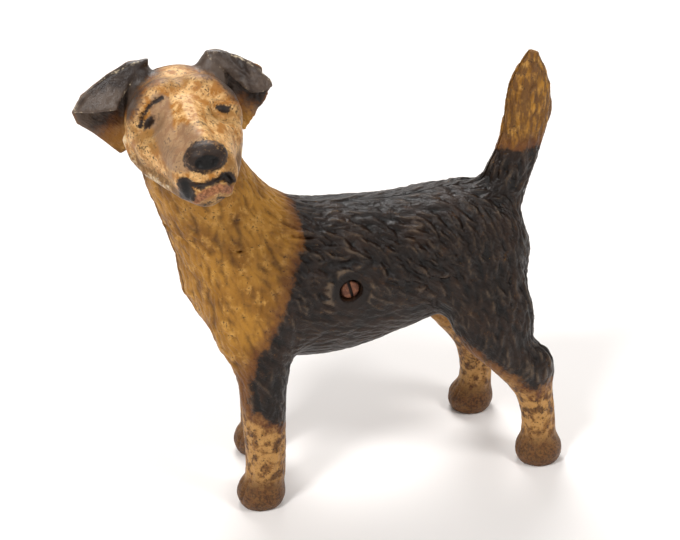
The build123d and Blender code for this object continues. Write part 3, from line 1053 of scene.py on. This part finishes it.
def steel_material():
    """Rusted steel with a little bright wear and painted shade inside the slot."""
    m = Nodes("rusty_screw")
    blotch, fleck = m.noise(1.6, 4.0), m.noise(0.4, 3.0)
    colour = m.blend(blotch, 0.4, 0.6, "5A3322", "7E4E34")
    colour = m.patch(colour, "A77C66", fleck, 0.55, 0.75)
    y = m.axes()[1]
    face_y, seat_y = HEAD_FACE_Y + HOME[1], HEAD_SEAT_Y + HOME[1]
    # painted shade: near-black colour inside the slot
    slot_shade = m.product(m.span(y, face_y + 0.3, face_y + 0.8), m.span(y, seat_y + 0.3, seat_y))
    colour = m.over(colour, "0C0705", slot_shade, 0.9)
    roughness = m.span(fleck, 0.3, 0.7, 0.45, 0.7)
    return m.finish(colour, roughness, metallic=0.35, bump=m.total(fleck, blotch), bump_depth=0.06)


def dress(piece, material, body, node):
    mesh = piece.data
    mesh.materials.clear()
    mesh.materials.append(material)
    mesh.shade_smooth()
    mesh.set_sharp_from_angle(angle=math.radians(52))
    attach(piece, body)
    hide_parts(node)


left_shell = half_shell("left_casting_shell", -1)
right_shell = half_shell("right_casting_shell", 1)
paint(left_shell, np.zeros(3))
paint(right_shell, RIM_SHIFT)
left_enamel = Enamel("left_enamel", (0.0, 0.0, 0.0)).cover()
right_enamel = Enamel("right_enamel", (57.0, 31.0, 12.0)).cover()
dress(left_shell, left_enamel, "left_half", "left_casting")
dress(right_shell, right_enamel, "right_half", "right_casting")

# ---- the screw
THREAD_PITCH, THREAD_DEPTH = 1.0, 0.42
SHANK_RADIUS = 2.05
THREAD_START_Y = -10.0


def thread(angles, y):
    """Depth of the helical groove at each angle round the shank."""
    fade = ramp(np.array([y]), THREAD_START_Y - 0.6, THREAD_START_Y + 0.6)[0]
    fade *= 1 if y < SHANK_TIP_Y - 0.1 else 0
    phase = (y / THREAD_PITCH - angles / (2 * math.pi)) % 1.0
    return THREAD_DEPTH * np.abs(2 * phase - 1) * fade


def screw_profile():
    rows = [(HEAD_FACE_Y, HEAD_RADIUS * 0.60), (HEAD_FACE_Y + 0.12, HEAD_RADIUS * 0.82),
            (HEAD_FACE_Y + 0.45, HEAD_RADIUS * 0.96), (HEAD_FACE_Y + 0.8, HEAD_RADIUS),
            (HEAD_SEAT_Y - 0.25, HEAD_RADIUS), (HEAD_SEAT_Y, HEAD_RADIUS - 0.2), (HEAD_SEAT_Y, SHANK_RADIUS)]
    rows += [(y, SHANK_RADIUS) for y in np.arange(HEAD_SEAT_Y + 0.4, SHANK_TIP_Y - 0.9, 0.11)]
    rows += [(SHANK_TIP_Y - 0.8, SHANK_RADIUS - 0.1), (SHANK_TIP_Y, SHANK_RADIUS - 0.9)]
    return rows


SLOT_WIDTH, SLOT_DEPTH, SLOT_LEAN = 1.1, 1.3, 15.0
screw_piece = turned("clamp_screw_steel", SCREW_X, SCREW_Z, screw_profile(), 40, thread)
slot_spin = Matrix.Rotation(math.radians(-SLOT_LEAN), 3, "Y")
slot_centre = (SCREW_X, HEAD_FACE_Y, SCREW_Z)
slot_corners = (-SLOT_WIDTH / 2, -2, -6), (SLOT_WIDTH / 2, SLOT_DEPTH, 6)
combine(screw_piece, block(*slot_corners, slot_spin, slot_centre), "DIFFERENCE")
dress(screw_piece, steel_material(), "screw", "clamp_screw")

# ---- floor, light and camera
FLOOR_SIZE = 3000.0
floor_corners = np.array(((-1, -1, 0), (1, -1, 0), (1, 1, 0), (-1, 1, 0))) * FLOOR_SIZE / 2
floor = mesh_object("floor", floor_corners, ((0, 1, 2, 3),))
floor_paper = Nodes("floor_paper")
floor.data.materials.append(floor_paper.finish(tint("F7F3F0"), 0.9))

scene = bpy.context.scene
scene.view_settings.view_transform = "Standard"
WALL_GLOW, ROOM_GLOW = 0.9, 0.24     # brightness of the white walls near the floor and of the room above
world = bpy.data.worlds.new("studio")
world.use_nodes = True
sky = world.node_tree
sky.nodes["Background"].inputs["Color"].default_value = (1.0, 0.975, 0.95, 1.0)
sky_place = sky.nodes.new("ShaderNodeTexCoord")
sky_axes = sky.nodes.new("ShaderNodeSeparateXYZ")
sky_fade = sky.nodes.new("ShaderNodeMapRange")
for socket, value in zip(list(sky_fade.inputs)[1:5], (0.10, 0.30, WALL_GLOW, ROOM_GLOW)):
    socket.default_value = value
sky.links.new(sky_place.outputs["Generated"], sky_axes.inputs[0])
sky.links.new(sky_axes.outputs[2], sky_fade.inputs[0])
sky.links.new(sky_fade.outputs[0], sky.nodes["Background"].inputs["Strength"])
scene.world = world
LIGHT_AIM = Vector((-0.02, 0.0, 0.08))


def area_light(name, place, size, watts):
    data = bpy.data.lights.new(name, "AREA")
    data.shape = "DISK"
    data.size = size
    data.energy = watts
    lamp = bpy.data.objects.new(name, data)
    lamp.location = place
    lamp.rotation_euler = (Vector(place) - LIGHT_AIM).to_track_quat("Z", "Y").to_euler()
    scene.collection.objects.link(lamp)


area_light("key", (-0.60, -0.45, 0.95), 0.25, 7.2)
area_light("fill", (0.45, -0.50, 0.95), 0.30, 3.9)
area_light("back", (0.1, 0.75, 0.95), 0.6, 10.0)

VIEW_TARGET = Vector((np.array((-19.0, -2.5, 80.0)) + HOME) * MM)
VIEW_AZIMUTH, VIEW_ELEVATION, VIEW_DISTANCE = math.radians(-18), math.radians(27), 0.700
view_back = Vector((math.sin(VIEW_AZIMUTH) * math.cos(VIEW_ELEVATION),
                    -math.cos(VIEW_AZIMUTH) * math.cos(VIEW_ELEVATION), math.sin(VIEW_ELEVATION)))
camera_data = bpy.data.cameras.new("camera")
camera_data.sensor_width = 36.0
camera_data.lens = 105.9
camera = bpy.data.objects.new("camera", camera_data)
camera.location = VIEW_TARGET + view_back * VIEW_DISTANCE
camera.rotation_euler = view_back.to_track_quat("Z", "Y").to_euler()
scene.collection.objects.link(camera)
scene.camera = camera
